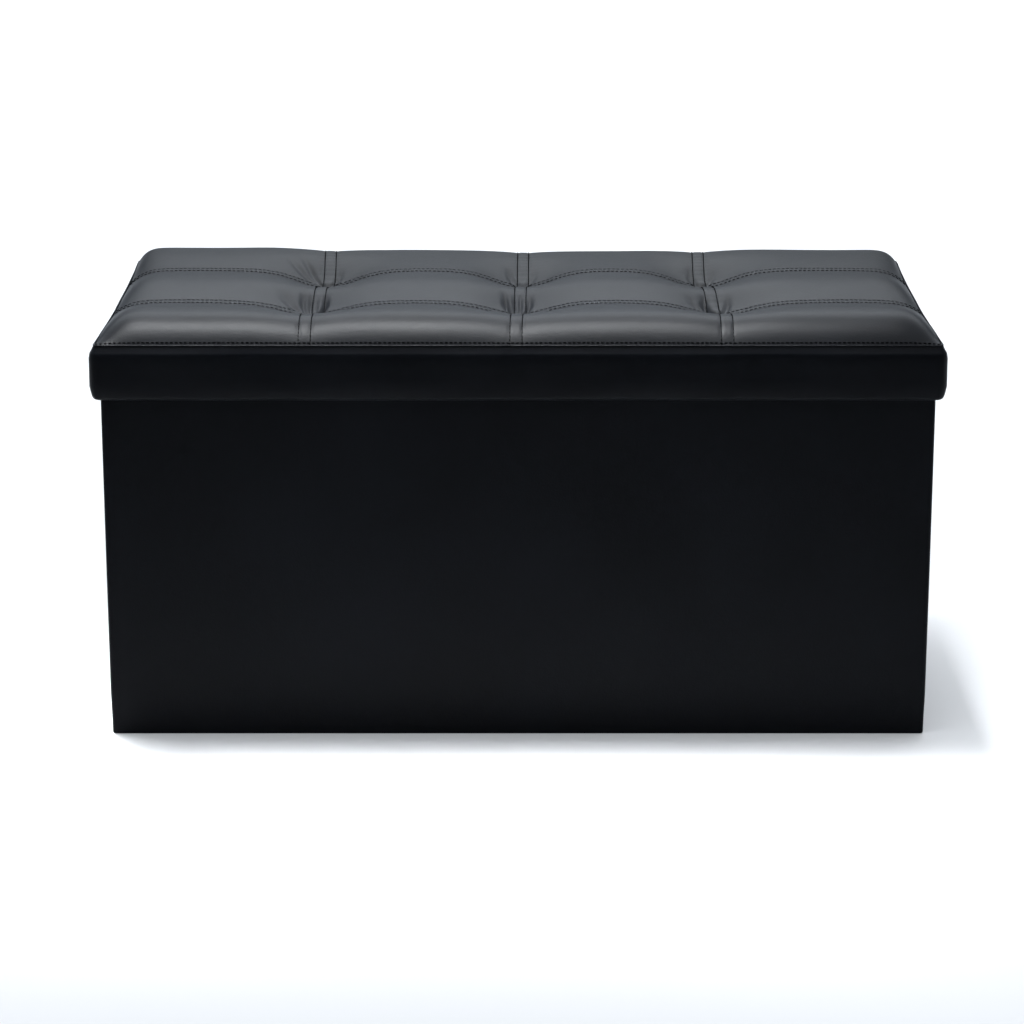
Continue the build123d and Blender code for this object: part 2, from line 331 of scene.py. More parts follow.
QUILT_HALF = LID_HALF - BenchSizes.__annotations__["seam_inset"].keywords["default"]
QUILT_RADIUS = 7
FRONT_CREST, MIDDLE_CREST = 22.3, 20.5  # above the edge seam
BACK_CREST_X = (-380, -240, -130, 100, 220, 380)
BACK_CREST = (20.4, 20.4, 17.8, 16.6, 18.2, 17.8)
FRONT_VALLEY, BACK_VALLEY = 13.2, 17.4
FRONT_CREST_Y, BACK_CREST_Y = -140, 138
TUFT_FLOOR = 1.2
TUFT_SPREAD = 0.56  # share of a tuft's reach where its pull has mostly faded
COLUMN_VALLEY = 2.6
STITCH_PROUD = 0.35
STITCH_SKEW = 0.09  # most that a stitch turns from its line, in radians
STITCH_STEP = 1.5  # points of a seam line, one to the next
PLEAT_DEPTH = (1.8, 1.15)  # share of the depths below, at the front tufts and the back ones
SWELL_MOST, SWELL_SMOOTHINGS = 1.2, 12  # most that the cloth step moves a point, and its evening
SWELL_GRID = (133, 67)  # points of the cloth along x and y
SWELL_FRAMES = 20
SWELL_EDGE_HELD, SWELL_SEAM_HELD = 3, 6.5  # how near the edge and the seams the cloth is held
CLOTH = {
    "quality": 7,
    "mass": 0.35,
    "tension_stiffness": 14,
    "compression_stiffness": 14,
    "shear_stiffness": 6,
    "bending_stiffness": 0.4,
    "use_pressure": True,
    "uniform_pressure_force": 2,
}
# How full each shoulder is: higher is fuller.
FRONT_ROLL, END_ROLL, BACK_ROLL, BACK_CORNER_ROLL = 2.4, 3.0, 4.4, 2.2
DRIFT_Y = (-190, -80, -45, 45, 80, 190)
DRIFT = ((-4.5, -5, 0, 0.8, 4, 1), (-4.5, -2.5, -0.5, 0.7, 2.5, 3.3), (5.5, 7, 0.5, -2.2, -5.5, -2.5))
# Pleats that run from a tuft: offset, lean, depth, width, length and direction along y.
PLEATS = {
    (0, 0): (
        (-9.5, -0.07, 2.4, 2.8, 58, 1),
        (-4.4, -0.02, 2.2, 2.2, 54, 1),
        (0.6, 0, 1.7, 2.2, 50, 1),
        (8.4, 0.03, 3.0, 2.8, 52, 1),
        (-19, -0.28, 1.2, 4.5, 60, 1),
        (-5, -0.15, 1.2, 3, 32, -1),
        (5, 0.12, 1.2, 3, 30, -1),
    ),
    (1, 0): (
        (-9.5, -0.1, 3.1, 3.2, 56, 1),
        (-3.6, -0.03, 2.0, 2.2, 50, 1),
        (1.4, 0, 2.4, 2.2, 52, 1),
        (8.6, 0.05, 2.4, 2.8, 50, 1),
        (-4, -0.12, 1.2, 3, 30, -1),
        (6, 0.14, 1.2, 3, 30, -1),
    ),
    (2, 0): (
        (-9.5, -0.08, 3.2, 3.6, 48, 1),
        (-17, -0.25, 1.2, 4, 45, 1),
        (9, 0.06, 1.6, 3, 46, 1),
        (-5, -0.12, 1.0, 3, 30, -1),
        (6, 0.12, 1.0, 3, 30, -1),
    ),
    (0, 1): (
        (-7, -0.3, 2.0, 3.2, 76, 1),
        (-13, -0.48, 1.7, 3.6, 70, 1),
        (9, 0.1, 1.6, 3, 42, 1),
        (-6, -0.2, 1.2, 3, 35, -1),
        (7, 0.2, 1.2, 3, 35, -1),
    ),
    (1, 1): ((-8.5, -0.12, 2.0, 3.2, 52, 1), (9, 0.1, 1.0, 3, 42, 1), (-7, -0.2, 1.1, 3, 34, -1)),
    (2, 1): ((-8.5, -0.06, 2.0, 3.2, 52, 1), (9, 0.12, 1.0, 3, 42, 1), (7, 0.2, 1.1, 3, 34, -1)),
}


def column_x(k, y):
    """Where a column seam runs, at each place along the depth."""
    nodes, values = np.array(DRIFT_Y, float), np.array(DRIFT[k])
    i = np.clip(np.searchsorted(nodes, y) - 1, 0, len(nodes) - 2)
    t = ease(y, nodes[i], nodes[i + 1])
    return COLUMNS[k] + values[i] * (1 - t) + values[i + 1] * t


def falling(t):
    """Fall from a round crest, 1 at 0, to a seam, 0 at 1, with a slight slope left there."""
    return 1 - t * t * (3 - 2 * t) + 0.8 * t * t * (1 - t)


def row_profile(x, y, band):
    """Height along the depth: three pillows with two sewn valleys between them."""
    front, back = ROWS
    mid, half = (front + back) / 2, (back - front) / 2 - band
    t_front = np.clip((y - FRONT_CREST_Y) / (front - band - FRONT_CREST_Y), 0, 1)
    t_back = np.clip((BACK_CREST_Y - y) / (BACK_CREST_Y - back - band), 0, 1)
    t_mid = np.clip((y - mid) / half, -1, 1)
    low_front = FRONT_VALLEY + (FRONT_CREST - FRONT_VALLEY) * falling(t_front)
    low_back = BACK_VALLEY + (np.interp(x, BACK_CREST_X, BACK_CREST) - BACK_VALLEY) * falling(t_back)
    slope = FRONT_VALLEY + (BACK_VALLEY - FRONT_VALLEY) * (t_mid + 1) / 2
    crest = MIDDLE_CREST - (FRONT_VALLEY + BACK_VALLEY) / 2
    middle = slope + crest * falling(np.abs(t_mid))
    return np.where(y < front, low_front, np.where(y > back, low_back, middle))


def soft_waves(x, y):
    """Slow unevenness of hand-filled padding, about one part either way."""
    wave = np.sin(x / 61 + 0.7 + np.sin(y / 53)) * np.sin(y / 47 + 1.9)
    wave += 0.7 * np.sin(x / 34 + y / 71 + 0.4) + 0.4 * np.sin(x / 19 - y / 23 + 2.2)
    return wave / 2.1


def quilt_height(x, y, sewn):
    """Height above the edge seam. sewn adds the grooves, pleats and puckers."""
    s = sizes()
    height = row_profile(x, y, s.band) + 0.35 * soft_waves(x, y)
    nearest = np.full(x.shape, 1e3)
    for k in range(len(COLUMNS)):
        off = np.abs(x - column_x(k, y))
        nearest = np.minimum(nearest, off)
        height -= COLUMN_VALLEY * np.exp(-np.maximum(off - s.band, 0) / 22)
    row_off = np.minimum(np.abs(y - ROWS[0]), np.abs(y - ROWS[1]))
    for k in range(len(COLUMNS)):
        for j, row in enumerate(ROWS):
            dx, dy = x - column_x(k, np.full_like(y, row)), y - row
            r = np.hypot(dx / s.tuft_length, dy / s.tuft_depth)
            pull = np.exp(-((r / TUFT_SPREAD) ** 2))
            height -= (height - TUFT_FLOOR) * pull
            if not sewn:
                continue
            height -= 3.0 * np.exp(-((np.hypot(dx, dy) / 8) ** 2))
            for offset, lean, depth, width, length, way in PLEATS[k, j]:
                run = dy * way
                fade = ease(run, 1, 9) * (1 - ease(run, 0.35 * length, length))
                line = dx - offset * (0.55 + 0.45 * ease(run, 0, 25)) - lean * run
                height -= PLEAT_DEPTH[j] * depth * fade * np.exp(-((line / width) ** 2))
    if sewn:
        over = ease(nearest, 7, 12)
        pucker = np.sin(x / 1.9 + 3 * np.sin(x / 23)) * np.exp(-np.maximum(row_off - s.band, 0) / 7)
        height += 0.1 * pucker * over
        pucker = np.sin(y / 1.8 + 3 * np.sin(y / 19)) * np.exp(-np.maximum(nearest - s.band, 0) / 7)
        height += 0.1 * pucker
        for off, strength in ((row_off, over), (nearest, 1)):
            height += 0.35 * (1 - ease(off, s.band - 2, s.band)) * strength
            height -= s.groove * np.exp(-(((off - s.band) / 1.15) ** 2)) * strength
    edge_x = 1 - np.clip((QUILT_HALF[0] - np.abs(x)) / s.shoulder, 0, 1)
    edge_y = 1 - np.clip((QUILT_HALF[1] - np.abs(y)) / s.shoulder, 0, 1)
    fullness = np.where(y < 0, FRONT_ROLL, BACK_ROLL)
    end_fullness = END_ROLL + BACK_CORNER_ROLL * ease(y, 60, 170)
    return height * (1 - edge_x**end_fullness) * (1 - edge_y**fullness)


def side_bow(x, y):
    """How far the ends pull in at their middles, towards x = 0."""
    near_end = ease(np.abs(x), QUILT_HALF[0] - 90, QUILT_HALF[0])
    return np.sign(x) * sizes().side_bow * near_end * (1 - np.clip(y / QUILT_HALF[1], -1, 1) ** 2)


def quilt_points(xs, ys, sewn=True):
    """Grid of points on the quilted top, in millimetres, for stations along x and y."""
    x, y = np.meshgrid(xs, ys, indexing="ij")
    height = quilt_height(x, y, sewn)
    straight_half = QUILT_HALF - QUILT_RADIUS
    a = np.clip((np.abs(x) - straight_half[0]) / QUILT_RADIUS, 0, 1)
    b = np.clip((np.abs(y) - straight_half[1]) / QUILT_RADIUS, 0, 1)
    px = np.minimum(np.abs(x), straight_half[0]) + QUILT_RADIUS * a * np.sqrt(1 - b * b / 2)
    py = np.minimum(np.abs(y), straight_half[1]) + QUILT_RADIUS * b * np.sqrt(1 - a * a / 2)
    px, py = np.sign(x) * px, np.sign(y) * py
    return np.stack([px - side_bow(px, py), py, SEAM_Z + height], -1)


def stations(half, shoulder, marks, fine, coarse, reach):
    """Stations from -half to half: close together near the marks and out on the shoulders."""
    inner = half - shoulder
    places = [-inner]
    while places[-1] < inner:
        off = np.min(np.abs(np.array(marks) - places[-1]))
        places.append(places[-1] + fine + (coarse - fine) * float(ease(off, reach, 3 * reach)))
    body = np.array(places) * inner / places[-1]
    body[0] = -inner
    steps = np.sin(np.linspace(0, math.pi / 2, round(shoulder / coarse * 1.7) + 1))[1:]
    out = inner + shoulder * steps
    return np.concatenate([-out[::-1], body, out])


def swell(xs, ys):
    """Blow the sewn cover up as cloth held at its seams, and return how far each point moves."""
    rest = quilt_points(xs, ys, sewn=False)
    x, y = np.meshgrid(xs, ys, indexing="ij")
    piece = put_mesh("swelling", rest.reshape(-1, 3), grid_faces(*x.shape))
    held = np.minimum(QUILT_HALF[0] - np.abs(x), QUILT_HALF[1] - np.abs(y)) < SWELL_EDGE_HELD
    held |= np.min([np.abs(y - row) for row in ROWS], axis=0) < SWELL_SEAM_HELD
    for k in range(len(COLUMNS)):
        held |= np.abs(x - column_x(k, y)) < SWELL_SEAM_HELD
    group = piece.vertex_groups.new(name="sewn")
    group.add(np.nonzero(held.ravel())[0].tolist(), 1, "REPLACE")
    cloth = piece.modifiers.new("cloth", "CLOTH")
    for key, value in CLOTH.items():
        setattr(cloth.settings, key, value)
    cloth.settings.vertex_group_mass = group.name
    cloth.settings.effector_weights.gravity = 0
    cloth.point_cache.frame_start = 1
    cloth.point_cache.frame_end = SWELL_FRAMES
    for step in range(1, SWELL_FRAMES + 1):
        bpy.context.scene.frame_set(step)
    shaped = piece.evaluated_get(bpy.context.evaluated_depsgraph_get()).data
    found = np.zeros(len(shaped.vertices) * 3, np.float32)
    shaped.vertices.foreach_get("co", found)
    mesh = piece.data
    bpy.data.objects.remove(piece)
    bpy.data.meshes.remove(mesh)
    bpy.context.scene.frame_set(1)
    moved = found.reshape(rest.shape) / MM - rest
    far = np.linalg.norm(moved, axis=-1, keepdims=True)
    moved *= np.minimum(1, SWELL_MOST / np.maximum(far, 1e-6))
    for _ in range(SWELL_SMOOTHINGS):
        wide = np.pad(moved, ((1, 1), (1, 1), (0, 0)), "edge")
        moved = (wide[:-2, 1:-1] + wide[2:, 1:-1] + wide[1:-1, :-2] + wide[1:-1, 2:] + 4 * moved) / 8
    return moved, float(far.max())


# ---- finishes ---------------------------------------------------------------------------


class Value:
    """Number that changes over a surface, for plain expressions."""

    def __init__(self, tree, socket):
        self.tree, self.socket = tree, socket

    def run(self, operation, *values):
        node = self.tree.nodes.new("ShaderNodeMath")
        node.operation = operation
        for place, value in zip(node.inputs, values):
            if isinstance(value, Value):
                self.tree.links.new(value.socket, place)
            else:
                place.default_value = value
        return Value(self.tree, node.outputs[0])

    def __add__(self, other):
        return self.run("ADD", self, other)

    def __sub__(self, other):
        return self.run("SUBTRACT", self, other)

    def __rsub__(self, other):
        return self.run("SUBTRACT", other, self)

    def __mul__(self, other):
        return self.run("MULTIPLY", self, other)

    __radd__, __rmul__ = __add__, __mul__

    def above(self, start, end):
        """0 at start, 1 at end, smooth between."""
        node = self.tree.nodes.new("ShaderNodeMapRange")
        node.interpolation_type = "SMOOTHSTEP"
        self.tree.links.new(self.socket, node.inputs["Value"])
        node.inputs["From Min"].default_value = start
        node.inputs["From Max"].default_value = end
        return Value(self.tree, node.outputs["Result"])


class Finish:
    """Material in the making, with constants set on its shader's own sockets."""

    def __init__(self, name, **constants):
        self.material = bpy.data.materials.new(name)
        self.material.use_nodes = True
        self.tree = self.material.node_tree
        self.shader = self.tree.nodes["Principled BSDF"]
        for socket, value in constants.items():
            self.shader.inputs[socket.replace("_", " ")].default_value = value

    def node(self, kind, settings=None, **inputs):
        """Node of a kind with its settings, then the values or links of its sockets."""
        node = self.tree.nodes.new(kind)
        for key, value in (settings or {}).items():
            setattr(node, key, value)
        for key, value in inputs.items():
            socket = node.inputs[key.replace("_", " ")]
            if isinstance(value, Value):
                self.tree.links.new(value.socket, socket)
            elif isinstance(value, bpy.types.NodeSocket):
                self.tree.links.new(value, socket)
            else:
                socket.default_value = value
        return node

    def place(self, source, scale=(1, 1, 1)):
        """Coordinates of a source, Object or UV, stretched by a scale."""
        kind = self.node("ShaderNodeTexCoord").outputs[source]
        return self.node("ShaderNodeMapping", Vector=kind, Scale=scale).outputs["Vector"]

    def noise(self, where, scale, detail=2.0, roughness=0.5):
        node = self.node(
            "ShaderNodeTexNoise", Vector=where, Scale=scale, Detail=detail, Roughness=roughness
        )
        return Value(self.tree, node.outputs["Fac"])

    def cells(self, where, scale, feature="SMOOTH_F1", smooth=0.6):
        node = self.node("ShaderNodeTexVoronoi", {"feature": feature}, Vector=where, Scale=scale)
        if feature == "SMOOTH_F1":
            node.inputs["Smoothness"].default_value = smooth
        return Value(self.tree, node.outputs["Distance"])

    def split(self, where):
        node = self.node("ShaderNodeSeparateXYZ", Vector=where)
        return [Value(self.tree, node.outputs[k]) for k in range(3)]

    def wave(self, value, length):
        """Ridges of a length along a coordinate, from 0 to 1."""
        turned = value * (2 * math.pi / length)
        return turned.run("SINE", turned) * 0.5 + 0.5

    def mix(self, share, first, second):
        node = self.tree.nodes.new("ShaderNodeMix")
        node.data_type = "RGBA"
        self.tree.links.new(share.socket, node.inputs["Factor"])
        for place, value in ((node.inputs[6], first), (node.inputs[7], second)):
            if isinstance(value, bpy.types.NodeSocket):
                self.tree.links.new(value, place)
            else:
                place.default_value = (*value, 1)
        return node.outputs[2]

    def done(self, colour, roughness, height=None, bump=0.3, depth=0.0002):
        """Link what changes over the surface, and give back the material."""
        self.tree.links.new(colour, self.shader.inputs["Base Color"])
        self.tree.links.new(roughness.socket, self.shader.inputs["Roughness"])
        if height is not None:
            node = self.node("ShaderNodeBump", Strength=bump, Distance=depth, Height=height)
            self.tree.links.new(node.outputs["Normal"], self.shader.inputs["Normal"])
        return self.material


FINISHES = {}


def finish(name):
    """Material of a name, made once."""
    if name not in FINISHES:
        FINISHES[name] = MAKERS[name]()
    return FINISHES[name]


def shade(colour, share):
    return tuple(c * share for c in colour)


def make_leather():
    """Dark coated leather: fine pebble, faint creasing and a soft sheen."""
    base = tuple(colours().leather)
    f = Finish(
        "leather", IOR=1.125, Sheen_Weight=0.04, Sheen_Roughness=0.45, Sheen_Tint=(0.86, 0.92, 1, 1)
    )
    where = f.place("Object")
    warp = f.node("ShaderNodeVectorMath", {"operation": "ADD"})
    f.tree.links.new(where, warp.inputs[0])
    bend = f.node("ShaderNodeTexNoise", Vector=where, Scale=90.0, Detail=1.0)
    small = f.node("ShaderNodeVectorMath", {"operation": "SCALE"}, Scale=0.004)
    f.tree.links.new(bend.outputs["Color"], small.inputs[0])
    f.tree.links.new(small.outputs[0], warp.inputs[1])
    pebble = f.cells(warp.outputs[0], 620.0)
    pores = f.cells(warp.outputs[0], 1500.0, "F1")
    creases = f.noise(where, 150.0, 4.0, 0.65)
    clouds = f.noise(where, 9.0, 3.0)
    height = pebble * 0.8 + pores * 0.25 + creases * 0.9
    tone = (clouds * 0.7 + creases * 0.3).above(0.3, 0.72)
    colour = f.mix(tone, shade(base, 0.8), shade(base, 1.25))
    roughness = clouds * 0.08 + creases * 0.06 + 0.29 + pebble * 0.05
    return f.done(colour, roughness, height, 0.22, 0.00035)


def make_thread():
    base = tuple(colours().thread)
    f = Finish("thread", IOR=1.05)
    where = f.place("Object")
    x, y, z = f.split(where)
    twist = f.wave(x + y + z, 0.0007)
    colour = f.mix(twist, shade(base, 0.6), shade(base, 1.4))
    return f.done(colour, twist * 0.1 + 0.85, twist, 0.4, 0.00008)


def make_lining():
    """Non-woven cloth with its grid of small welded dots."""
    base = tuple(colours().lining)
    f = Finish("non-woven cloth", IOR=1.4, Sheen_Weight=0.25, Sheen_Roughness=0.6)
    where = f.place("UV")
    x, y, _ = f.split(where)
    dots = f.wave(x + y, 0.0017) * f.wave(x - y, 0.0017)
    weld = dots.above(0.45, 0.8)
    fibres = f.noise(f.place("UV", (1, 4, 1)), 900.0, 3.0, 0.6)
    clouds = f.noise(where, 25.0, 3.0)
    height = (1 - weld) * 0.8 + fibres * 0.6
    tone = (fibres * 0.6 + clouds * 0.6).above(0.3, 0.9)
    cloth = f.mix(tone, shade(base, 0.65), shade(base, 1.5))
    colour = f.mix(weld * 0.5, cloth, shade(base, 0.5))
    return f.done(colour, 0.85 - weld * 0.2 + fibres * 0.08, height, 0.5, 0.00025)


def make_webbing():
    """Flat woven tape: ribs across and warp threads along."""
    base = tuple(colours().webbing)
    f = Finish("woven tape", IOR=1.45, Sheen_Weight=0.2, Sheen_Roughness=0.4)
    where = f.place("UV")
    x, y, _ = f.split(where)
    ribs = f.wave(y, 0.0012)
    warp = f.wave(x, 0.0009)
    weave = ribs * 0.7 + warp * 0.3
    fuzz = f.noise(where, 1600.0, 2.0)
    colour = f.mix((weave + fuzz * 0.4).above(0.1, 1.2), shade(base, 0.45), shade(base, 1.7))
    return f.done(colour, 0.8 - weave * 0.15, weave + fuzz * 0.3, 0.6, 0.0003)


def make_foam():
    base = tuple(colours().foam)
    f = Finish("foam", IOR=1.3, Sheen_Weight=0.15)
    where = f.place("Object")
    pores = f.cells(where, 900.0, "F1")
    clouds = f.noise(where, 30.0, 3.0)
    colour = f.mix((pores * 0.8 + clouds * 0.5).above(0.2, 1.0), shade(base, 0.72), base)
    return f.done(colour, 0.9 - pores * 0.1, pores, 0.6, 0.0005)


def make_board(name, base, grain, dark):
    """Pressed fibre: short flakes along the sheet with darker specks."""
    f = Finish(name, IOR=1.45)
    where = f.place("Object")
    flakes = f.noise(f.place("Object", (1, 1, 2.5)), grain, 6.0, 0.7)
    specks = f.cells(where, grain * 2.2, "F1").above(0.12, 0.4)
    clouds = f.noise(where, 14.0, 2.0)
    body = f.mix((flakes * 0.8 + clouds * 0.3).above(0.35, 0.75), shade(base, dark), base)
    colour = f.mix(specks, shade(base, dark * 0.7), body)
    return f.done(colour, 0.78 - flakes * 0.2, flakes + specks * 0.3, 0.35, 0.0003)


def make_steel():
    base = tuple(colours().steel)
    f = Finish("steel wire", Metallic=1.0)
    where = f.place("Object")
    drawn = f.noise(f.place("Object", (1, 1, 0.2)), 2500.0, 2.0)
    spots = f.noise(where, 300.0, 3.0)
    colour = f.mix(spots.above(0.45, 0.75), base, shade(base, 0.6))
    return f.done(colour, drawn * 0.2 + 0.25, drawn, 0.2, 0.00005)


def make_floor():
    base = tuple(colours().floor)
    f = Finish("studio floor", IOR=1.3)
    where = f.place("Object")
    clouds = f.noise(where, 3.0, 2.0)
    colour = f.mix(clouds, base, shade(base, 0.985))
    return f.done(colour, clouds * 0.05 + 0.85)


MAKERS = {
    "leather": make_leather,
    "thread": make_thread,
    "lining": make_lining,
    "webbing": make_webbing,
    "foam": make_foam,
    "fibreboard": lambda: make_board("fibreboard", tuple(colours().fibreboard), 420.0, 0.62),
    "hardboard": lambda: make_board("hardboard", tuple(colours().hardboard), 700.0, 0.7),
    "steel": make_steel,
    "floor": make_floor,
}

SEAMS = {"lid": [], "storage_box": [], "base": []}


def sew(body, points, normals):
    """Keep a line of stitches for later: points on a surface and the surface's normals."""
    points, normals = np.asarray(points, float), np.asarray(normals, float)
    SEAMS[body].append((points, np.broadcast_to(normals, points.shape)))


def sew_straight(body, start, end, normal, spacing=6):
    sew(body, straight(start, end, spacing), normal)


# ---- operators --------------------------------------------------------------------------


class BENCH_OT_quilted_top(bpy.types.Operator):
    """Sewn leather top, the foam under it and the ties of its tufts"""

    bl_idname = "bench.quilted_top"
    bl_label = "Quilted top"

    def execute(self, context):
        s = sizes()
        xs = stations(QUILT_HALF[0], s.shoulder, COLUMNS, 1.4, 3.7, 16)
        ys = stations(QUILT_HALF[1], s.shoulder, ROWS, 1.3, 3.2, 9)
        upper = quilt_points(xs, ys)
        smooth = quilt_points(xs, ys, sewn=False)
        coarse_x, coarse_y = (
            np.linspace(-half, half, count) for half, count in zip(QUILT_HALF, SWELL_GRID)
        )
        moved, far = swell(coarse_x, coarse_y)
        print(f"quilted top: cloth moved {far:.2f} mm at most")
        x, y = np.meshgrid(xs, ys, indexing="ij")
        moved = read_grid(moved, coarse_x, coarse_y, x, y)
        upper += moved
        smooth += moved
        normals = grid_normals(smooth)
        lower = upper - s.leather * normals
        cover = slab("quilted_top", upper, lower)
        settle(cover, "lid", finish("leather"), "pu_leather", "lid_top_cover")
        self.add_foam(xs, ys, lower)
        self.sew_lines(xs, ys, upper)
        self.tie_tufts(xs, ys, upper)
        return {"FINISHED"}

    def add_foam(self, xs, ys, lower):
        """Foam that fills the cover, down to the lid board."""
        height = lower[..., 2]
        for axis, reach in ((0, 3), (1, 2)):
            shifts = [np.roll(height, k, axis) for k in range(-reach, reach + 1)]
            height = np.min(shifts, axis=0)
        top = lower.copy()
        top[2:-2, 2:-2, 2] = height[2:-2, 2:-2] - 0.3
        top[..., :2] *= 1 - 0.4 / QUILT_HALF
        pick_x = np.r_[np.arange(0, len(xs) - 1, 2), len(xs) - 1]
        pick_y = np.r_[np.arange(0, len(ys) - 1, 2), len(ys) - 1]
        top = top[np.ix_(pick_x, pick_y)]
        under = top.copy()
        under[..., 2] = BOARD_TOP
        foam = slab("foam_core", top, under)
        settle(foam, "lid", finish("foam"), "foam", "lid_foam_pad")

    def sew_lines(self, xs, ys, upper):
        """Twin rows of stitches along every seam, and one row round the edge."""
        s = sizes()
        normals = grid_normals(upper)

        def lay(x, y):
            if len(x) > 1:
                facing = read_grid(normals, xs, ys, x, y)
                sew("lid", read_grid(upper, xs, ys, x, y) + STITCH_PROUD * facing, facing)

        def lay_parts(x, y, near, clear):
            """Lay a line in parts, left out where it is nearer than clear to a crossing seam."""
            cuts = np.nonzero(np.diff((near > clear).astype(int)))[0] + 1
            for part_x, part_y, part_near in zip(*(np.split(a, cuts) for a in (x, y, near))):
                if part_near.max() > clear:
                    lay(part_x, part_y)

        def places(axis):
            inner = QUILT_HALF[axis] - STITCH_STEP
            return np.arange(-inner, inner, STITCH_STEP)

        for row in ROWS:
            for side in (-s.band, s.band):
                x = places(0)
                y = np.full_like(x, row + side)
                near = np.min([np.abs(x - column_x(k, y)) for k in range(len(COLUMNS))], axis=0)
                lay_parts(x, y, near, 8)
        for k in range(len(COLUMNS)):
            for side in (-s.band, s.band):
                y = places(1)
                near = np.min([np.abs(y - row) for row in ROWS], axis=0)
                lay_parts(column_x(k, y) + side, y, near, 4)
        half_x, half_y = QUILT_HALF - 2
        x = np.arange(-half_x, half_x, 2)
        y = np.arange(-half_y, half_y, 2)
        path_x = np.concatenate([x, np.full_like(y, half_x), -x, np.full_like(y, -half_x), [-half_x]])
        path_y = np.concatenate([np.full_like(x, -half_y), y, np.full_like(x, half_y), -y, [-half_y]])
        lay(path_x, path_y)

    def tie_tufts(self, xs, ys, upper):
        """Tie of each tuft: two strands up from the board and one short stitch on top."""
        points, faces = [], []

        def tube(line, radius, sides=8):
            line = np.asarray(line, float)
            run = np.gradient(line, axis=0)
            run /= np.linalg.norm(run, axis=1)[:, None]
            side = np.cross(run, (0.3, 1, 0.2))
            side /= np.linalg.norm(side, axis=1)[:, None]
            up = np.cross(run, side)
            turn = np.linspace(0, 2 * math.pi, sides, endpoint=False)
            first = len(points)
            for centre, a, b in zip(line, side, up):
                for angle in turn:
                    points.append(centre + radius * (a * math.cos(angle) + b * math.sin(angle)))
            faces.extend(grid_faces(len(line), sides, first, around=True).tolist())
            last = first + (len(line) - 1) * sides
            faces.append(list(range(first, first + sides))[::-1])
            faces.append(list(range(last, last + sides)))

        for k, column in enumerate(COLUMNS):
            for row in ROWS:
                place = np.array([float(column_x(k, np.array(row))), row])
                top = read_grid(upper, xs, ys, place[0], place[1])
                for way in (-1, 1):
                    foot = (column + way * 0.5, row, CORD_FOOT)
                    through = (column + way * 0.5, row, BOARD_TOP)
                    tube([foot, through, top + (way * 2.6, 0, -0.3)], 0.45)
                bend = np.linspace(-1, 1, 9)
                loop = np.stack([3.2 * bend, 0.4 * bend, 0.75 * np.sqrt(1 - bend**2 * 0.98)], 1)
                tube(top + loop, 0.65)
        ties = put_mesh("tuft_ties", points, faces)
        settle(ties, "lid", finish("thread"), "cord", "tuft_cords")


class BENCH_OT_lid_edge(bpy.types.Operator):
    """Skirt leather of the lid, the foam behind it and the welt in the edge seam"""

    bl_idname = "bench.lid_edge"
    bl_label = "Lid edge and skirt"

    def execute(self, context):
        s = sizes()
        half = s.leather / 2
        top = s.seam_inset + half
        outside = HEM_Z + 4.2
        inner = SKIRT_STACK + half
        middle = np.concatenate(
            [
                [(top + 0.5, SEAM_Z - 0.4), (top - 0.5, SEAM_Z - 1.4)],
                arc((half + 5.5, SEAM_Z - 8.0), 5.5, 150, 180, 5),
                straight((half, SEAM_Z - 12), (half, outside + 2), 6),
                arc((half + 3.5, HEM_Z + half + 3.5), 3.5, 180, 270, 7),
                [(5.4, HEM_Z + half)],
                arc((inner - 0.6, HEM_Z + half + 0.6), 0.6, 290, 360, 4),
                straight((inner, HEM_Z + 2.5), (inner, LINING_LOW[2] - 0.2), 5),
            ]
        )

        def shape(grid, outward):
            x, y, z = (grid[..., k] for k in range(3))
            bow = side_bow(x, y) * ease(z, SEAM_Z - 16, SEAM_Z)
            span = np.abs(x) * (np.abs(outward[:, :1]) < 0.7) + y * (np.abs(outward[:, :1]) >= 0.7)
            wave = 0.3 * np.sin(span / 47 + z / 19) + 0.22 * np.sin(span / 21 - z / 11 + 1)
            body = ease(z, HEM_Z + 2, HEM_Z + 12) * (1 - ease(z, SEAM_Z - 12, SEAM_Z - 2))
            outer = (np.abs(x) > LID_HALF[0] - 4.5) | (np.abs(y) > LID_HALF[1] - 4.5)
            push = np.where(outer, (wave + 1.9) * body, 0)
            moved = grid.copy()
            moved[..., 0] += outward[:, :1] * push - bow
            moved[..., 1] += outward[:, 1:] * push
            return moved

        section = thick_line(middle, s.leather)
        skirt = ring("skirt_leather", LID_HALF, LID_RADIUS, section, 7, 9, shape=shape)
        names = [f"lid_skirt_cover_{side}" for side in ("front", "back", "left", "right")]
        settle(skirt, "lid", finish("leather"), "pu_leather", *names)

        foam_top = BOARD_TOP - 0.1
        behind = s.leather + 0.4
        section = [
            (behind + 0.1, foam_top - 1),
            (behind, 340),
            (behind, 322),
            (2.2, 319.4),
            (3.1, 318.4),
            (3.15, 340),
            (3.15, foam_top),
            (2.3, foam_top),
        ]
        foam = ring("skirt_foam", LID_HALF, LID_RADIUS, section, 12, 7)
        settle(foam, "lid", finish("foam"), "foam", "lid_skirt_foam")

        def bowed(grid, outward):
            moved = grid.copy()
            moved[..., 0] -= side_bow(grid[..., 0], grid[..., 1])
            return moved

        section = arc((s.seam_inset + 0.3, SEAM_Z - 0.35), 1.0, 0, 324, 10)
        welt = ring("edge_welt", LID_HALF, LID_RADIUS, section, 7, 9, shape=bowed)
        settle(welt, "lid", finish("leather"), "pu_leather", "lid_edge_welt")
        return {"FINISHED"}


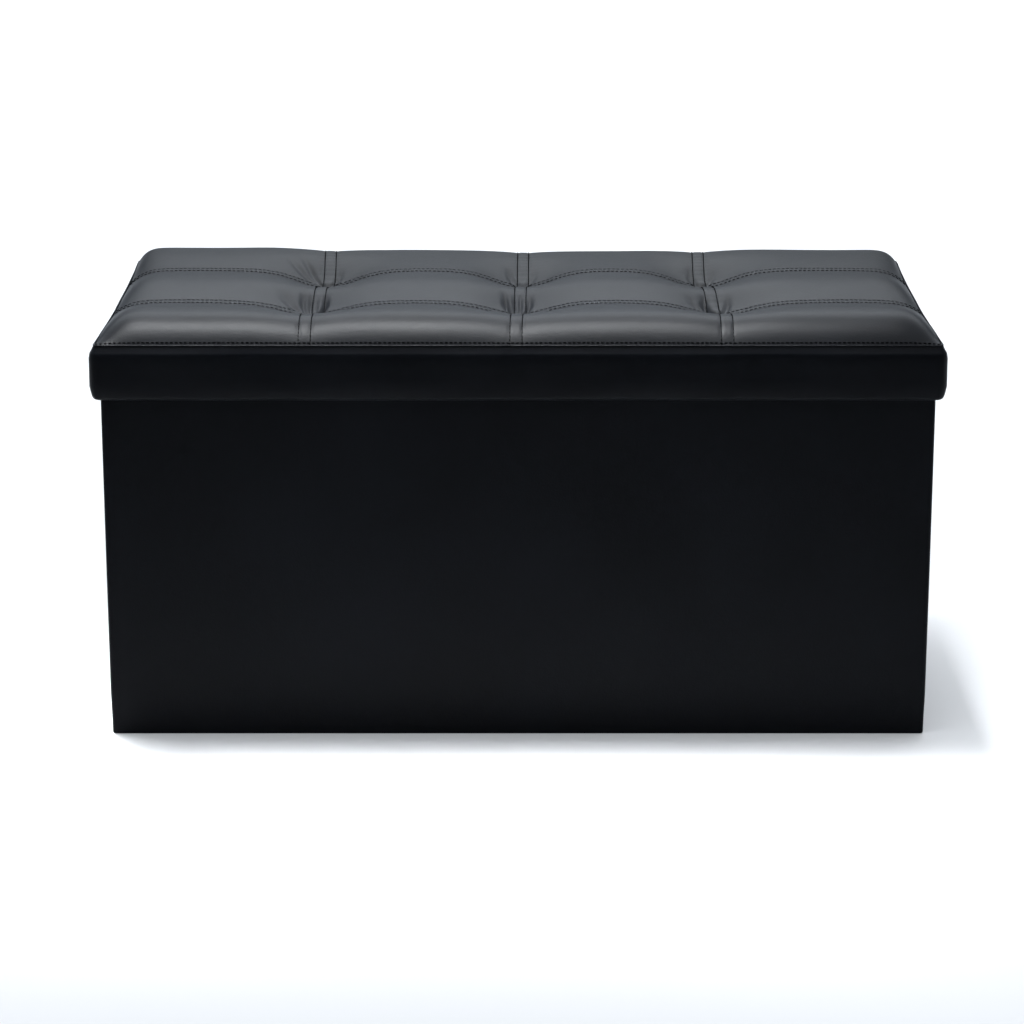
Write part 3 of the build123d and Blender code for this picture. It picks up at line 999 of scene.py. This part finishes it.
class BENCH_OT_lid_lining(bpy.types.Operator):
    """Non-woven cloth under the lid board and down inside the skirt"""

    bl_idname = "bench.lid_lining"
    bl_label = "Lid lining"

    def execute(self, context):
        s = sizes()
        half = LINING_HIGH[:2]
        thickness = s.lining
        flat_z = LINING_HIGH[2] - thickness
        x = np.linspace(-half[0] + 1, half[0] - 1, 60)
        y = np.linspace(-half[1] + 1, half[1] - 1, 32)
        gx, gy = np.meshgrid(x, y, indexing="ij")
        sag = 0.1 * soft_waves(gx * 1.7, gy * 1.9)
        upper = np.stack([gx, gy, np.full_like(gx, LINING_HIGH[2] - 0.02)], -1)
        lower = np.stack([gx, gy, flat_z + 0.1 + sag], -1)
        cloth = slab("lid_lining", upper, lower, np.stack([gx, gy], -1))
        settle(cloth, "lid", finish("lining"), "nonwoven", "lid_underside_lining")
        inset = SKIRT_STACK + thickness / 2
        middle = [
            *straight((inset, LINING_LOW[2]), (inset, flat_z - 1.2), 6),
            (inset + 0.1, flat_z - 0.3),
            (inset + 0.5, flat_z + 0.2),
        ]
        band = ring("lid_side_lining", LID_HALF, LID_RADIUS, thick_line(middle, thickness), 9, 5)
        settle(band, "lid", finish("lining"), "nonwoven", "lid_underside_lining")
        return {"FINISHED"}


def crease_shape(depth):
    """Shape callback that presses in both end walls at their middle fold."""

    def shape(grid, outward):
        x, y = grid[..., 0], grid[..., 1]
        press = depth * np.exp(-((y / 1.9) ** 2)) * (np.abs(outward[:, :1]) > 0.7)
        middle = BOX_HALF[0] - WALL_STACK / 2
        moved = grid.copy()
        way = np.where(np.abs(x) > middle, -1, 1) * np.sign(x)
        moved[..., 0] += way * press
        return moved

    return shape


class BENCH_OT_box_cover(bpy.types.Operator):
    """Leather round the box's walls, over the rim and under the bottom edge"""

    bl_idname = "bench.box_cover"
    bl_label = "Box cover"

    def execute(self, context):
        s = sizes()
        half = s.leather / 2
        inner = WALL_STACK + half
        top = RIM_Z - half
        low = WALL_CLOTH_HIGH[2]
        bend = 1.0
        middle = np.concatenate(
            [
                straight((inner, low), (inner, top - bend - 2), 5),
                arc((inner - bend, top - bend), bend, 0, 90, 5),
                arc((half + bend, top - bend), bend, 90, 180, 5),
                straight((half, top - bend - 2), (half, half + 4), 11),
                arc((half + bend, half + bend), bend, 180, 270, 5),
                straight((half + bend + 2, half), (inner - 0.4, half), 4),
            ]
        )
        press = crease_shape(1.1)

        def shape(grid, outward):
            moved = press(grid, outward)
            x, y, z = (grid[..., k] for k in range(3))
            outer = (np.abs(x) > BOX_HALF[0] - 2) | (np.abs(y) > BOX_HALF[1] - 2)
            span = np.where(np.abs(outward[:, :1]) < 0.7, x, y)
            wave = np.sin(span / 83 + z / 61) + 0.6 * np.sin(span / 39 - z / 47 + 2)
            body = ease(z, 6, 40) * (1 - ease(z, RIM_Z - 40, RIM_Z - 6)) * outer
            push = (0.16 * wave + 0.9) * body
            moved[..., 0] += outward[:, :1] * push
            moved[..., 1] += outward[:, 1:] * push
            return moved

        section = thick_line(middle, s.leather)
        cover = ring("box_leather", BOX_HALF, BOX_RADIUS, section, 9, 5, True, shape)
        names = [f"{side}_wall_cover" for side in ("front", "back", "left", "right")]
        settle(cover, "storage_box", finish("leather"), "pu_leather", *names)
        self.sew_lines(low)
        return {"FINISHED"}

    def sew_lines(self, low):
        """Stitches beside the end folds and along the leather's lower edge inside."""
        outer = BOX_HALF[0] + 0.05
        inner = BOX_HALF - WALL_STACK - sizes().leather - 0.05
        for way in (-1, 1):
            for y in (-7, 7):
                low_end, high_end = (way * outer, y, 5), (way * outer, y, RIM_Z - 5)
                sew_straight("storage_box", low_end, high_end, (way, 0, 0))
            sew_straight(
                "storage_box",
                (way * inner[0], -inner[1] + 2, low + 4),
                (way * inner[0], inner[1] - 2, low + 4),
                (-way, 0, 0),
            )
            sew_straight(
                "storage_box",
                (-inner[0] + 2, way * inner[1], low + 4),
                (inner[0] - 2, way * inner[1], low + 4),
                (0, -way, 0),
            )


class BENCH_OT_box_lining(bpy.types.Operator):
    """Non-woven cloth on the walls inside, and the floor sheet"""

    bl_idname = "bench.box_lining"
    bl_label = "Box lining"

    def execute(self, context):
        thickness = sizes().lining
        inset = WALL_STACK + thickness / 2
        low, high = WALL_CLOTH_LOW[2], WALL_CLOTH_HIGH[2]
        section = thick_line(straight((inset, low + 0.3), (inset, high - 0.4), 12), thickness)
        cloth = ring("wall_lining", BOX_HALF, BOX_RADIUS, section, 12, 3, True, crease_shape(0.5))
        names = [f"{side}_wall_lining" for side in ("front", "back", "left", "right")]
        settle(cloth, "storage_box", finish("lining"), "nonwoven", *names)

        half = FLOOR_HIGH[:2] - 0.2
        x = np.linspace(-half[0], half[0], 50)
        y = np.linspace(-half[1], half[1], 26)
        gx, gy = np.meshgrid(x, y, indexing="ij")
        lift = 0.08 + 0.05 * soft_waves(gx, gy)
        upper = np.stack([gx, gy, FLOOR_HIGH[2] + 0 * gx], -1)
        lower = np.stack([gx, gy, FLOOR_LOW[2] + lift], -1)
        sheet = slab("floor_cloth", upper, lower, np.stack([gx, gy], -1))
        settle(sheet, "storage_box", finish("lining"), "nonwoven", "floor_sheet")
        return {"FINISHED"}


class BENCH_OT_base_cloths(bpy.types.Operator):
    """Cloth round the base board, its hinge tape and its pull ribbon"""

    bl_idname = "bench.base_cloths"
    bl_label = "Base board cloths"

    def execute(self, context):
        self.wrap_board()
        self.add_tape()
        self.add_ribbon()
        return {"FINISHED"}

    def wrap_board(self):
        """Upper cloth turned down over the board's edges, and the lower cloth."""
        thickness = sizes().lining

        def fold(low, high, offset, count):
            """Stations (place, height) from edge to edge, turned down at both."""
            top, bottom = BASE_HIGH[2] - offset, BASE_LOW[2]
            left = [(0, bottom), (0, bottom + 2), (0, top - 0.9), (0.25, top - 0.3), (0.9, top)]
            ends = [(low + offset + a, z) for a, z in left]
            others = [(high - offset - a, z) for a, z in left[::-1]]
            flat = [(v, top) for v in np.linspace(low + 4, high - 4, count)]
            return np.array([*ends, *flat, *others])

        def folded(offset):
            along = fold(BASE_LOW[0], BASE_HIGH[0], offset, 60)
            across = fold(BASE_LOW[1], BASE_HIGH[1], offset, 30)
            gx, gy = np.meshgrid(along[:, 0], across[:, 0], indexing="ij")
            height = np.minimum(*np.meshgrid(along[:, 1], across[:, 1], indexing="ij"))
            return np.stack([gx, gy, height], -1)

        upper, lower = folded(0), folded(thickness * 0.98)
        # A little lower on top than the CAD's face, clear of the tape and ribbon that lie on it.
        upper[..., 2] -= 0.05 * (upper[..., 2] > BASE_HIGH[2] - 0.1)
        cloth = slab("base_cloth", upper, lower, upper[..., :2])
        settle(cloth, "base", finish("lining"), "nonwoven", "base_lining_top")
        low, high = BASE_UNDER_LOW, BASE_UNDER_HIGH
        gx, gy = np.meshgrid(
            np.linspace(low[0] + 0.3, high[0] - 0.3, 50),
            np.linspace(low[1] + 0.3, high[1] - 0.3, 26),
            indexing="ij",
        )
        upper = np.stack([gx, gy, high[2] + 0 * gx], -1)
        lower = np.stack([gx, gy, low[2] + 0.06 + 0.05 * soft_waves(gx, gy)], -1)
        under = slab("base_under_cloth", upper, lower, np.stack([gx, gy], -1))
        settle(under, "base", finish("lining"), "nonwoven", "base_lining_bottom")
        y, z = BASE_LOW[1] + 6, BASE_HIGH[2]
        left_row = (BASE_LOW[0] + 6, RIBBON_LOW[0] - 2)
        right_row = (RIBBON_HIGH[0] + 2, BASE_HIGH[0] - 6)
        for start, end in (left_row, right_row):
            sew_straight("base", (start, y, z), (end, y, z), (0, 0, 1))

    def add_tape(self):
        """One woven tape from the board to the wall, bent at the fold line."""
        flat_z = (TAPE_LOW[2] + TAPE_HIGH[2]) / 2
        wall_y = (WALL_TAPE_LOW[1] + WALL_TAPE_HIGH[1]) / 2
        thickness = TAPE_HIGH[2] - TAPE_LOW[2]
        bend = 1.2
        line = np.concatenate(
            [
                straight((TAPE_LOW[1], flat_z), (wall_y - bend - 0.6, flat_z), 3),
                arc((wall_y - bend, flat_z + bend), bend, 270, 360, 7),
                straight((wall_y, flat_z + bend + 0.6), (wall_y, WALL_TAPE_HIGH[2]), 3),
            ]
        )
        run = np.gradient(line, axis=0)
        run /= np.linalg.norm(run, axis=1)[:, None]
        across = np.stack([-run[:, 1], run[:, 0]], 1) * thickness / 2
        x = np.linspace(TAPE_LOW[0], TAPE_HIGH[0], 61)
        along = np.concatenate([[0], np.cumsum(np.linalg.norm(np.diff(line, axis=0), axis=1))])
        grids = []
        for side in (1, -1):
            edge = line + side * across * 0.98
            gx, gy = np.meshgrid(x, edge[:, 0], indexing="ij")
            gz = np.broadcast_to(edge[:, 1], gx.shape)
            grids.append(np.stack([gx, gy, gz], -1))
        uv = np.stack(np.meshgrid(x, along, indexing="ij"), -1)
        tape = slab("hinge_tape", grids[0], grids[1], uv)
        names = ("base_hinge_board_leg", "base_hinge_wall_leg")
        settle(tape, None, finish("webbing"), "webbing", *names)
        start = (0, wall_y * MM, (flat_z + bend + 0.4) * MM)
        end = (0, (wall_y - bend - 1.0) * MM, (flat_z - 0.2) * MM)
        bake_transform(tape)
        for y in (TAPE_LOW[1] + 3, TAPE_HIGH[1] - 4):
            top = TAPE_HIGH[2]
            sew_straight("base", (TAPE_LOW[0] + 4, y, top), (TAPE_HIGH[0] - 4, y, top), (0, 0, 1))
        # These rows miss the board's rows when the board stands up against the wall.
        for z in (WALL_TAPE_LOW[2] + 8, WALL_TAPE_HIGH[2] - 5.5):
            y = WALL_TAPE_LOW[1]
            start, end = (TAPE_LOW[0] + 4, y, z), (TAPE_HIGH[0] - 4, y, z)
            sew_straight("storage_box", start, end, (0, -1, 0))

    def add_ribbon(self):
        """Short pull ribbon with sealed ends, sewn down with a crossed square."""
        low, high = RIBBON_LOW, RIBBON_HIGH
        gx, gy = np.meshgrid(
            np.linspace(low[0], high[0], 15), np.linspace(low[1], high[1], 33), indexing="ij"
        )
        edge = ease(np.minimum(gx - low[0], high[0] - gx), -0.3, 1.2)
        ends = ease(np.minimum(gy - low[1], high[1] - gy), -0.3, 1.0)
        top = low[2] + (high[2] - low[2]) * (0.55 + 0.45 * edge * ends)
        upper = np.stack([gx, gy, top], -1)
        lower = np.stack([gx, gy, low[2] + 0 * gx], -1)
        ribbon = slab("pull_ribbon", upper, lower, np.stack([gx, gy], -1))
        settle(ribbon, "base", finish("webbing"), "webbing", "base_pull_ribbon")
        z = high[2]
        x0, x1, y0, y1 = low[0] + 3, high[0] - 3, high[1] - 22, high[1] - 3
        corners = [(x0, y0), (x1, y0), (x1, y1), (x0, y1)]
        pairs = [(0, 1), (1, 2), (2, 3), (3, 0), (0, 2), (1, 3)]
        for a, b in pairs:
            sew_straight("base", (*corners[a], z), (*corners[b], z), (0, 0, 1), 2)


class BENCH_OT_stitches(bpy.types.Operator):
    """Every visible stitch, laid along the kept seam lines by geometry nodes"""

    bl_idname = "bench.stitches"
    bl_label = "Stitches"

    def execute(self, context):
        tree = self.make_tree()
        for body, lines in SEAMS.items():
            self.lay(tree, body, lines)
        return {"FINISHED"}

    def make_tree(self):
        """Node tree that puts one stitch at every pitch along a line."""
        tree = bpy.data.node_groups.new("stitch line", "GeometryNodeTree")
        socket = tree.interface.new_socket
        socket("Line", in_out="INPUT", socket_type="NodeSocketGeometry")
        for name in ("Pitch", "Stitch length", "Thread"):
            socket(name, in_out="INPUT", socket_type="NodeSocketFloat")
        socket("Finish", in_out="INPUT", socket_type="NodeSocketMaterial")
        socket("Stitches", in_out="OUTPUT", socket_type="NodeSocketGeometry")

        def node(kind, settings=None, links=None, values=None):
            made = tree.nodes.new(kind)
            for key, value in (settings or {}).items():
                setattr(made, key, value)
            for key, value in (values or {}).items():
                made.inputs[key].default_value = value
            for key, value in (links or {}).items():
                tree.links.new(value, made.inputs[key])
            return made

        given = node("NodeGroupInput").outputs
        curve = node("GeometryNodeMeshToCurve", links={"Mesh": given["Line"]})
        spaced = node(
            "GeometryNodeCurveToPoints",
            {"mode": "LENGTH"},
            {"Curve": curve.outputs["Curve"], "Length": given["Pitch"]},
        )
        facing = node("GeometryNodeInputNamedAttribute", {"data_type": "FLOAT_VECTOR"})
        facing.inputs["Name"].default_value = "facing"
        along = node(
            "FunctionNodeAlignRotationToVector", {"axis": "X"}, {"Vector": spaced.outputs["Tangent"]}
        )
        upright = node(
            "FunctionNodeAlignRotationToVector",
            {"axis": "Z", "pivot_axis": "X"},
            {"Rotation": along.outputs["Rotation"], "Vector": facing.outputs["Attribute"]},
        )
        wobble = node("FunctionNodeRandomValue", {"data_type": "FLOAT"}, values={"Seed": 7})
        for index, angle in ((2, -STITCH_SKEW), (3, STITCH_SKEW)):
            wobble.inputs[index].default_value = angle
        skew = node("ShaderNodeCombineXYZ", links={"Z": wobble.outputs[1]})
        turn = node("FunctionNodeEulerToRotation", links={"Euler": skew.outputs[0]})
        turned = node(
            "FunctionNodeRotateRotation",
            {"rotation_space": "LOCAL"},
            {"Rotation": upright.outputs["Rotation"], "Rotate By": turn.outputs[0]},
        )
        bead = node("GeometryNodeMeshUVSphere", values={"Segments": 8, "Rings": 5, "Radius": 0.5})
        size = node(
            "ShaderNodeCombineXYZ",
            links={"X": given["Stitch length"], "Y": given["Thread"], "Z": given["Thread"]},
        )
        placed = node(
            "GeometryNodeInstanceOnPoints",
            links={
                "Points": spaced.outputs["Points"],
                "Instance": bead.outputs["Mesh"],
                "Rotation": turned.outputs["Rotation"],
                "Scale": size.outputs[0],
            },
        )
        real = node("GeometryNodeRealizeInstances", links={"Geometry": placed.outputs[0]})
        smooth = node("GeometryNodeSetShadeSmooth", links={"Geometry": real.outputs[0]})
        done = node(
            "GeometryNodeSetMaterial", links={"Geometry": smooth.outputs[0], "Material": given["Finish"]}
        )
        node("NodeGroupOutput", links={"Stitches": done.outputs[0]})
        return tree

    def lay(self, tree, body, lines):
        """Run the tree on one body's lines and keep its result as a plain mesh."""
        points = np.concatenate([line for line, _ in lines])
        facing = np.concatenate([normals for _, normals in lines])
        edges, first = [], 0
        for line, _ in lines:
            edges.extend((first + k, first + k + 1) for k in range(len(line) - 1))
            first += len(line)
        mesh = bpy.data.meshes.new("seam lines")
        mesh.from_pydata((points * MM).tolist(), edges, [])
        kept = mesh.attributes.new("facing", "FLOAT_VECTOR", "POINT")
        kept.data.foreach_set("vector", facing.astype(np.float32).ravel())
        path = bpy.data.objects.new("seam lines", mesh)
        bpy.context.scene.collection.objects.link(path)
        modifier = path.modifiers.new("stitches", "NODES")
        modifier.node_group = tree
        names = {item.name: item.identifier for item in tree.interface.items_tree}
        s = sizes()
        for key, size in (("Pitch", s.pitch), ("Stitch length", s.stitch), ("Thread", s.thread)):
            modifier[names[key]] = size * MM
        modifier[names["Finish"]] = finish("thread")
        bpy.context.view_layer.update()
        depsgraph = bpy.context.evaluated_depsgraph_get()
        made = bpy.data.meshes.new_from_object(path.evaluated_get(depsgraph), depsgraph=depsgraph)
        bpy.data.objects.remove(path)
        bpy.data.meshes.remove(mesh)
        if len(made.vertices) == 0:
            raise RuntimeError(f"no stitches were made on {body}")
        if "facing" in made.attributes:
            made.attributes.remove(made.attributes["facing"])
        made.name = f"{body}_stitches"
        piece = bpy.data.objects.new(f"{body}_stitches", made)
        bpy.context.scene.collection.objects.link(piece)
        piece.data.materials.clear()
        settle(piece, body, finish("thread"), "cord")


class BENCH_OT_board_finishes(bpy.types.Operator):
    """Finishes of the boards and fastenings that keep their own shapes"""

    bl_idname = "bench.board_finishes"
    bl_label = "Boards and fastenings"

    def execute(self, context):
        for name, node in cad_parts.items():
            if node.hide_render:
                continue
            if "skirt_board" in name or name == "base_board":
                material = finish("hardboard")
            elif "board" in name:
                material = finish("fibreboard")
            elif "staples" in name or "brads" in name:
                material = finish("steel")
            else:
                raise RuntimeError(f"{name} has no finish")
            node.data.materials.clear()
            node.data.materials.append(material)
        return {"FINISHED"}


# Camera fitted to the photo's proportions: metres, millimetres of lens and degrees.
CAMERA_PLACE = (-0.0055, -3.048, 1.017)
CAMERA_LENS, CAMERA_TILT = 116.2, 74.3
SOFT_WHITE, PALE_BLUE = (0.95, 0.975, 1), (0.89, 0.945, 1)
# Lights: name, place, turn in degrees, size, power, spread in degrees and colour.
LIGHTS = (
    ("overhead", (0, 0.2, 3), (0, 0, 0), (5, 5), 128, 180, SOFT_WHITE),
    ("far_floor", (0, 6.5, 4), (0, 0, 0), (9, 5), 520, 180, PALE_BLUE),
    ("lid_strip", (-0.19, 0.05, 1.45), (-11, -5, 0), (0.9, 0.5), 5.0, 28, SOFT_WHITE),
    ("back_fill", (-0.1, 1.7, 2.3), (-43, 0, 0), (1.4, 1.2), 16, 180, SOFT_WHITE),
)
FLOOR_REACH, FLOOR_THICKNESS = 14000, 20


class BENCH_OT_studio(bpy.types.Operator):
    """Pale floor, soft lights and the camera"""

    bl_idname = "bench.studio"
    bl_label = "Studio"

    def execute(self, context):
        self.add_floor()
        self.add_world()
        for light in LIGHTS:
            self.add_light(*light)
        data = bpy.data.cameras.new("camera")
        data.lens = CAMERA_LENS
        data.sensor_width = 36
        data.clip_end = 100
        camera = bpy.data.objects.new("camera", data)
        camera.location = CAMERA_PLACE
        camera.rotation_euler = (math.radians(CAMERA_TILT), 0, 0)
        context.scene.collection.objects.link(camera)
        context.scene.camera = camera
        context.scene.view_settings.view_transform = "Standard"
        return {"FINISHED"}

    def add_floor(self):
        steps = np.linspace(-FLOOR_REACH, FLOOR_REACH, 9)
        gx, gy = np.meshgrid(steps, steps, indexing="ij")
        upper = np.stack([gx, gy, 0 * gx], -1)
        lower = upper - (0, 0, FLOOR_THICKNESS)
        floor = slab("studio_floor", upper, lower)
        floor.data.materials.append(finish("floor"))

    def add_world(self):
        """Room light: bright behind the bench and above, dim in front of it."""
        world = bpy.data.worlds.new("studio")
        world.use_nodes = True
        bpy.context.scene.world = world
        tree = world.node_tree
        where = tree.nodes.new("ShaderNodeTexCoord").outputs["Generated"]
        parts = tree.nodes.new("ShaderNodeSeparateXYZ")
        tree.links.new(where, parts.inputs[0])
        x, y, z = (Value(tree, parts.outputs[k]) for k in range(3))
        aside = (x + 0.02).run("ABSOLUTE", x + 0.02)
        behind = y.above(0.2, 0.95) * (1 - aside.above(0, 0.26) * 0.9)
        above = z.above(0.35, 1.0)
        glow = 0.1 + behind * 0.45 + above * 0.2
        tree.links.new(glow.socket, tree.nodes["Background"].inputs["Strength"])
        tree.nodes["Background"].inputs["Color"].default_value = (0.80, 0.89, 0.985, 1)

    def add_light(self, name, place, turn, size, power, spread, tint):
        data = bpy.data.lights.new(name, "AREA")
        data.shape = "RECTANGLE"
        data.size, data.size_y = size
        data.energy = power
        data.color = tint
        data.spread = math.radians(spread)
        light = bpy.data.objects.new(name, data)
        light.location = place
        light.rotation_euler = [math.radians(angle) for angle in turn]
        bpy.context.scene.collection.objects.link(light)


class BENCH_PT_pieces(bpy.types.Panel):
    """Sizes, colours and pieces of the bench"""

    bl_idname = "BENCH_PT_pieces"
    bl_label = "Storage bench"
    bl_space_type = "VIEW_3D"
    bl_region_type = "UI"
    bl_category = "Bench"

    def draw(self, context):
        for group in (context.scene.bench_sizes, context.scene.bench_colours):
            for key in group.__annotations__:
                self.layout.prop(group, key)
        for operator in OPERATORS:
            self.layout.operator(operator.bl_idname)


OPERATORS = (
    BENCH_OT_quilted_top,
    BENCH_OT_lid_edge,
    BENCH_OT_lid_lining,
    BENCH_OT_box_cover,
    BENCH_OT_box_lining,
    BENCH_OT_base_cloths,
    BENCH_OT_stitches,
    BENCH_OT_board_finishes,
    BENCH_OT_studio,
)
CLASSES = (BenchSizes, BenchColours, *OPERATORS, BENCH_PT_pieces)


def register():
    for item in CLASSES:
        bpy.utils.register_class(item)
    bpy.types.Scene.bench_sizes = PointerProperty(type=BenchSizes)
    bpy.types.Scene.bench_colours = PointerProperty(type=BenchColours)


def unregister():
    del bpy.types.Scene.bench_colours
    del bpy.types.Scene.bench_sizes
    for item in reversed(CLASSES):
        bpy.utils.unregister_class(item)


def main():
    register()
    for operator in OPERATORS:
        group, name = operator.bl_idname.split(".")
        getattr(getattr(bpy.ops, group), name)()


if __name__ == "__main__":
    main()
